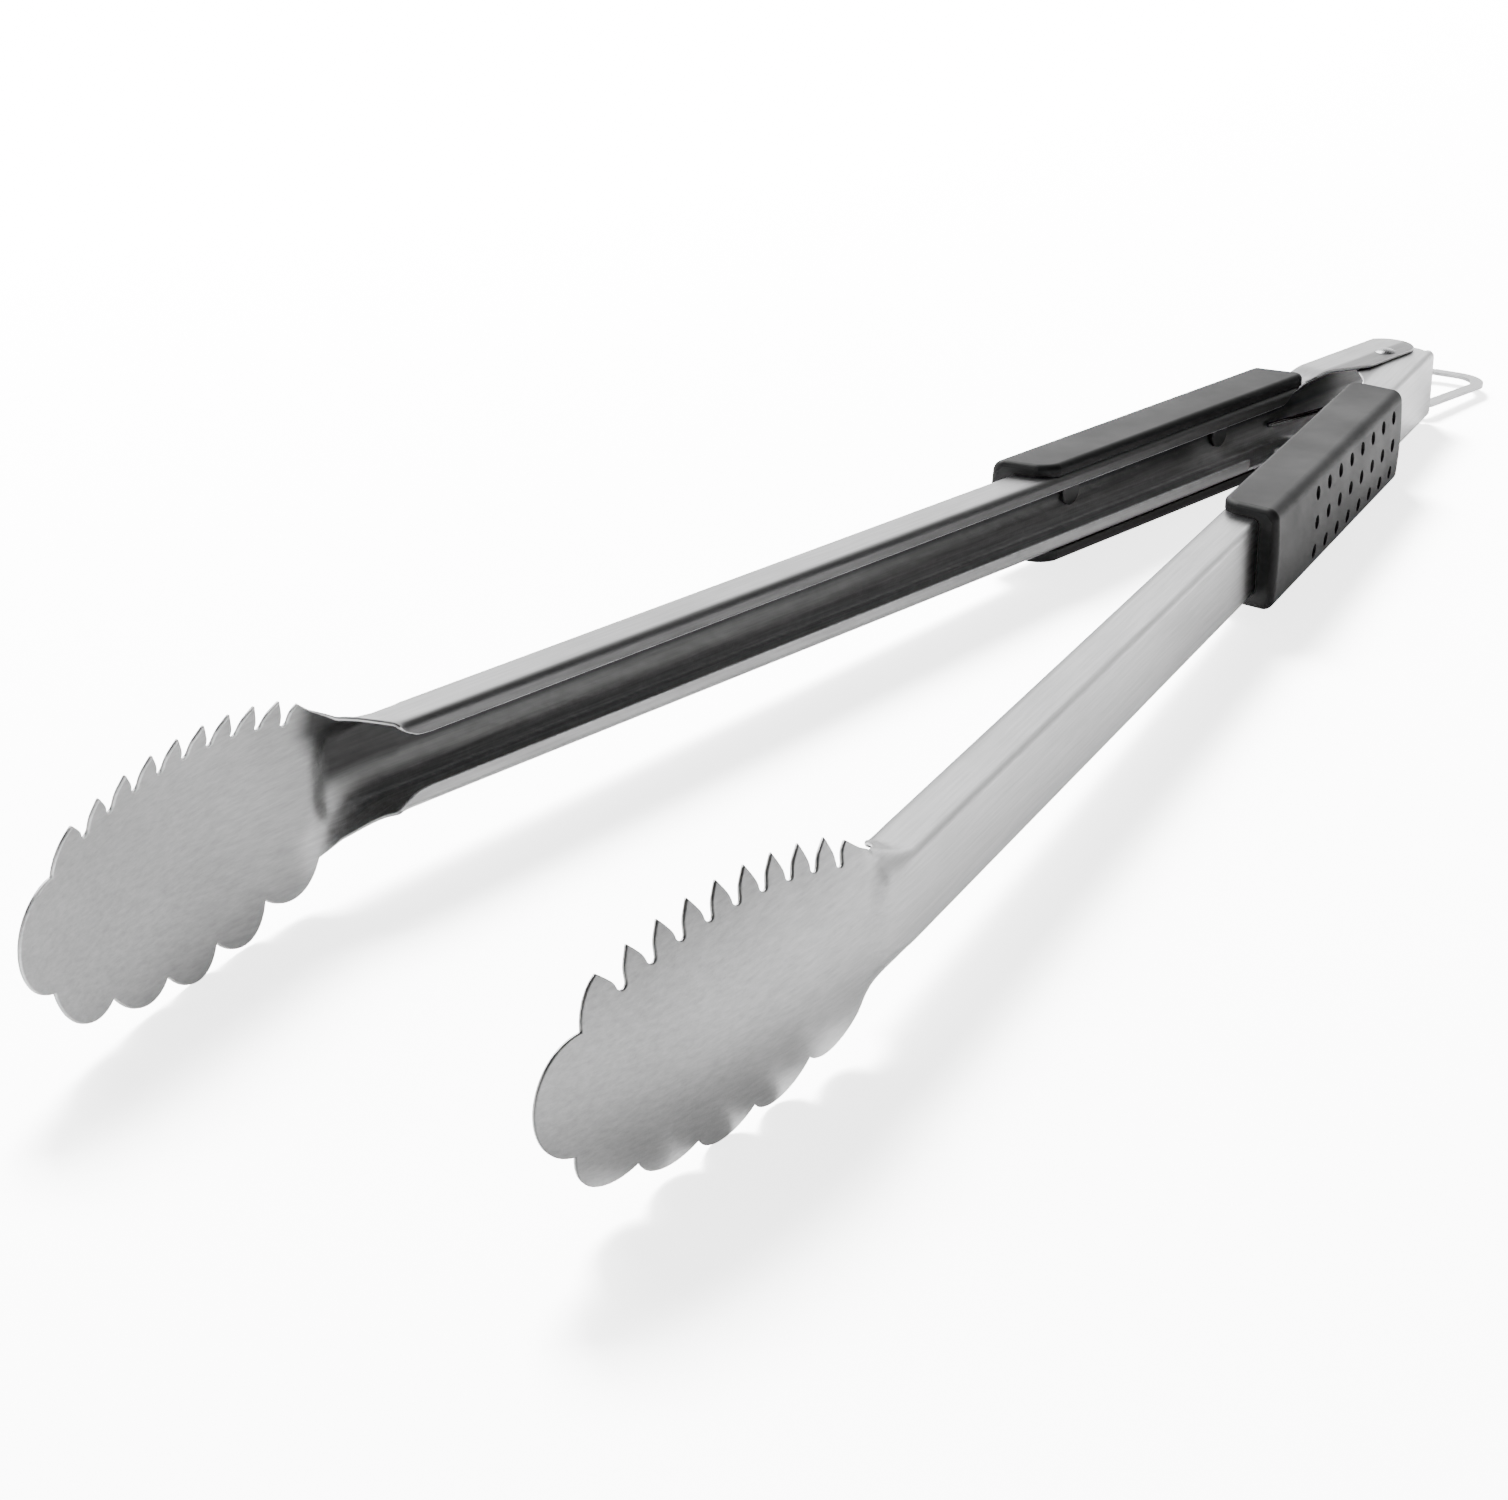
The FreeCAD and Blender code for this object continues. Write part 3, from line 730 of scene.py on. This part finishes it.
def steel(name, dark, light, stretch, rough, made_here, strength=0.3):
    """Steel with fine lines, soft patches and varied roughness.

    stretch is the lines' number per metre along each own axis. A piece made here also has its painted
    light and shade and its brushed way from what new_piece stored, and its painted edge highlight is
    paler and less metallic.
    """
    material = new_material(name, light, 1.0, rough[0])
    tree = material.node_tree
    shader = tree.nodes["Principled BSDF"]
    where = own_coordinates(tree, made_here)
    finer = 2.7
    lines = add_noise(tree, where, stretch, 4.0, 0.7)
    fine = add_noise(tree, where, tuple(k * finer for k in stretch), 3.0, 0.7)
    patches = add_noise(tree, where, (30.0, 30.0, 30.0), 2.0)
    tone = mixed(tree, ranged(tree, lines, 0.0, 1.0), dark, light)
    if made_here:
        # The stored tone paints light and shade into the colour: painted shade below 1, painted light
        # and edge highlight above.
        painted_tone = stored(tree, "painted_tone")
        toned = tree.nodes.new("ShaderNodeVectorMath")
        toned.operation = "SCALE"
        tree.links.new(tone, toned.inputs[0])
        tree.links.new(painted_tone.outputs["Fac"], toned.inputs["Scale"])
        tone = toned.outputs["Vector"]
        # Where the painted edge highlight lifts the tone above 1.7, the steel turns less metallic, so
        # the painted highlight shows as a pale edge.
        metal = ranged(tree, painted_tone.outputs["Fac"], 1.0, 0.35, 1.7, 2.1)
        tree.links.new(metal, shader.inputs["Metallic"])
    tree.links.new(tone, shader.inputs["Base Color"])
    both = tree.nodes.new("ShaderNodeMath")
    both.operation = "ADD"
    tree.links.new(ranged(tree, fine, rough[0], rough[1]), both.inputs[0])
    tree.links.new(ranged(tree, patches, -0.03, 0.03), both.inputs[1])
    tree.links.new(both.outputs["Value"], shader.inputs["Roughness"])
    bumped(tree, shader, [(lines, strength, 0.00002), (fine, strength, 0.00001)])
    if made_here:
        tree.links.new(stored(tree, "brush_way").outputs["Vector"], shader.inputs["Tangent"])
        set_input(shader, "Anisotropic", 0.8)
        set_input(shader, "Anisotropic Rotation", 0.25)
    return material


def soft_grip():
    """Matt moulded rubber: a fine spark texture, soft patches and slightly worn edges."""
    material = new_material("grip_rubber", (0.022, 0.022, 0.023), 0.0, 0.55)
    tree = material.node_tree
    shader = tree.nodes["Principled BSDF"]
    where = own_coordinates(tree, False)
    grit = add_noise(tree, where, (2600.0, 2600.0, 2600.0), 2.0)
    patches = add_noise(tree, where, (45.0, 45.0, 45.0), 3.0)
    edges = tree.nodes.new("ShaderNodeNewGeometry")
    worn = ranged(tree, edges.outputs["Pointiness"], 0.0, 1.0, 0.5, 0.62)
    tone = mixed(tree, ranged(tree, patches, 0.0, 1.0), (0.006, 0.006, 0.0063), (0.009, 0.009, 0.0093))
    wear = tree.nodes.new("ShaderNodeMix")
    wear.data_type = "RGBA"
    set_input(wear, "B", (0.02, 0.02, 0.0205, 1))
    tree.links.new(worn, wear.inputs["Factor"])
    tree.links.new(tone, wear.inputs["A"])
    tree.links.new(wear.outputs["Result"], shader.inputs["Base Color"])
    tree.links.new(ranged(tree, patches, 0.48, 0.6), shader.inputs["Roughness"])
    set_input(shader, "Specular IOR Level", 0.17)
    bumped(tree, shader, [(grit, 0.25, 0.00004)])
    return material


def hard_plastic():
    """Dark moulded plastic of the studs."""
    material = new_material("stud_plastic", (0.02, 0.02, 0.02), 0.0, 0.4)
    tree = material.node_tree
    shader = tree.nodes["Principled BSDF"]
    where = own_coordinates(tree, False)
    grit = add_noise(tree, where, (1800.0, 1800.0, 1800.0), 2.0)
    patches = add_noise(tree, where, (200.0, 200.0, 200.0), 2.0)
    tone = mixed(tree, ranged(tree, patches, 0.0, 1.0), (0.016, 0.016, 0.016), (0.026, 0.026, 0.026))
    tree.links.new(tone, shader.inputs["Base Color"])
    tree.links.new(ranged(tree, patches, 0.35, 0.5), shader.inputs["Roughness"])
    bumped(tree, shader, [(grit, 0.2, 0.00003)])
    return material


def repaint(node, material, bevel=0.0):
    """Gives a CAD node a material and, where bevel is above 0, softly broken edges."""
    piece = frame["nodes"][node]
    piece.data.materials.clear()
    piece.data.materials.append(material)
    if bevel:
        soften = piece.modifiers.new("broken_edges", "BEVEL")
        soften.width = bevel * mm
        soften.segments = 2
        soften.limit_method = "ANGLE"
        soften.angle_limit = math.radians(40)
        soften.harden_normals = False


def make_floor():
    """Plain floor that fills the picture: white and glowing to the camera, dimmer in reflections."""
    half = 6.0
    corners = [(-half, -half, 0), (half, -half, 0), (half, half, 0), (-half, half, 0)]
    mesh = bpy.data.meshes.new("floor")
    mesh.from_pydata(corners, [], [(0, 1, 2, 3)])
    floor = bpy.data.objects.new("floor", mesh)
    bpy.context.scene.collection.objects.link(floor)
    material = new_material("floor_paint", (0.92, 0.92, 0.92), 0.0, 0.8)
    tree = material.node_tree
    shader = tree.nodes["Principled BSDF"]
    seen = tree.nodes.new("ShaderNodeLightPath").outputs["Is Camera Ray"]
    tree.links.new(mixed(tree, seen, (0.3, 0.3, 0.3), (0.92, 0.92, 0.92)), shader.inputs["Base Color"])
    tree.links.new(ranged(tree, seen, 0.5, 3.5, 0.0, 1.0), shader.inputs["Emission Strength"])
    set_input(shader, "Emission Color", (1, 1, 1, 1))
    mesh.materials.append(material)
    return floor


def make_light(name, place, size, power):
    """Rectangular lamp that points at the middle of the tongs. Sizes are in metres, power in watts."""
    data = bpy.data.lights.new(name, "AREA")
    data.shape = "RECTANGLE"
    data.size, data.size_y = size
    data.energy = power
    lamp = bpy.data.objects.new(name, data)
    bpy.context.scene.collection.objects.link(lamp)
    lamp.location = place
    lamp.rotation_euler = (-Vector(place)).to_track_quat("-Z", "Y").to_euler()
    return lamp


def light_only(lamp, piece):
    """The lamp lights one piece and the others still cast their shadows on it."""
    lit = bpy.data.collections.new("lit_by_" + lamp.name)
    lit.objects.link(piece)
    lamp.light_linking.receiver_collection = lit


def make_camera():
    """Camera at a fixed place beside the tongs, given from the pivot along the tongs' own axes."""
    data = bpy.data.cameras.new("camera")
    data.lens = 82.39
    data.sensor_width = 36.0
    data.clip_start = 0.01
    camera = bpy.data.objects.new("camera", data)
    bpy.context.scene.collection.objects.link(camera)
    place = Matrix.Translation((0.845835, 0.3224, 0.242146))
    right = Vector((-0.525613, 0.850600, 0.014078))
    ahead = Vector((-0.794981, -0.485220, -0.364108))
    turn = Matrix((right, right.cross(ahead), -ahead)).transposed().to_4x4()
    tongs = Matrix.Translation(pivot) @ Matrix.Rotation(-lie_angle, 4, "Y")
    camera.matrix_world = tongs @ place @ turn
    bpy.context.scene.camera = camera


def make_world():
    """Soft studio: bright on the side of the rear end, towards -X, and dim on the heads' side."""
    world = bpy.data.worlds.new("studio")
    world.use_nodes = True
    tree = world.node_tree
    where = tree.nodes.new("ShaderNodeTexCoord")
    facing = tree.nodes.new("ShaderNodeVectorMath")
    facing.operation = "DOT_PRODUCT"
    facing.inputs[1].default_value = (-0.94, -0.34, 0.0)
    tree.links.new(where.outputs["Generated"], facing.inputs[0])
    glow = ranged(tree, facing.outputs["Value"], 0.10, 1.5, 0.42, 0.85)
    tree.links.new(glow, tree.nodes["Background"].inputs["Strength"])
    set_input(tree.nodes["Background"], "Color", (1, 1, 1, 1))
    bpy.context.scene.world = world


sheet_steel = steel("sheet_steel", (0.34, 0.34, 0.343), (0.45, 0.45, 0.453),
                    (40, 1300, 1300), (0.34, 0.46), True)
plate_steel = steel("plate_steel", (0.26, 0.26, 0.263), (0.34, 0.34, 0.343),
                    (60, 1200, 1200), (0.25, 0.36), False)
pin_steel = steel("pin_steel", (0.20, 0.20, 0.205), (0.28, 0.28, 0.285),
                  (900, 900, 900), (0.24, 0.34), False, 0.15)
spring_steel = steel("spring_steel", (0.38, 0.38, 0.39), (0.5, 0.5, 0.51),
                     (500, 500, 500), (0.12, 0.2), True, 0.15)
rubber = soft_grip()
plastic = hard_plastic()
inner = make_arm("inner_arm", 1, 0.0, *inner_ear, sheet_steel)
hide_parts("inner_arm")
outer = make_arm("outer_arm", -1, joggle_rise, *outer_ear, sheet_steel)
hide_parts("outer_arm")
make_spring(spring_steel)
for node in ("outer_grip", "inner_grip"):
    repaint(node, rubber, 0.12)
for node in ("outer_grip_studs", "inner_grip_studs"):
    repaint(node, plastic, 0.15)
repaint("pivot_rivet", pin_steel, 0.1)
repaint("pivot_sleeve", pin_steel, 0.1)
repaint("lock_slide", plate_steel, 0.2)
floor = make_floor()
floor_light = make_light("floor_light", (-1.0, -1.1, 1.6), (0.7, 0.7), 500)
light_only(floor_light, floor)
make_light("key", (-0.5, -1.3, 1.5), (1.6, 1.2), 110)
make_light("back", (-2.2, -1.4, 1.0), (2.6, 1.6), 24)
make_light("edge", (1.9, -1.3, 0.9), (1.2, 1.0), 22)
make_world()
make_camera()
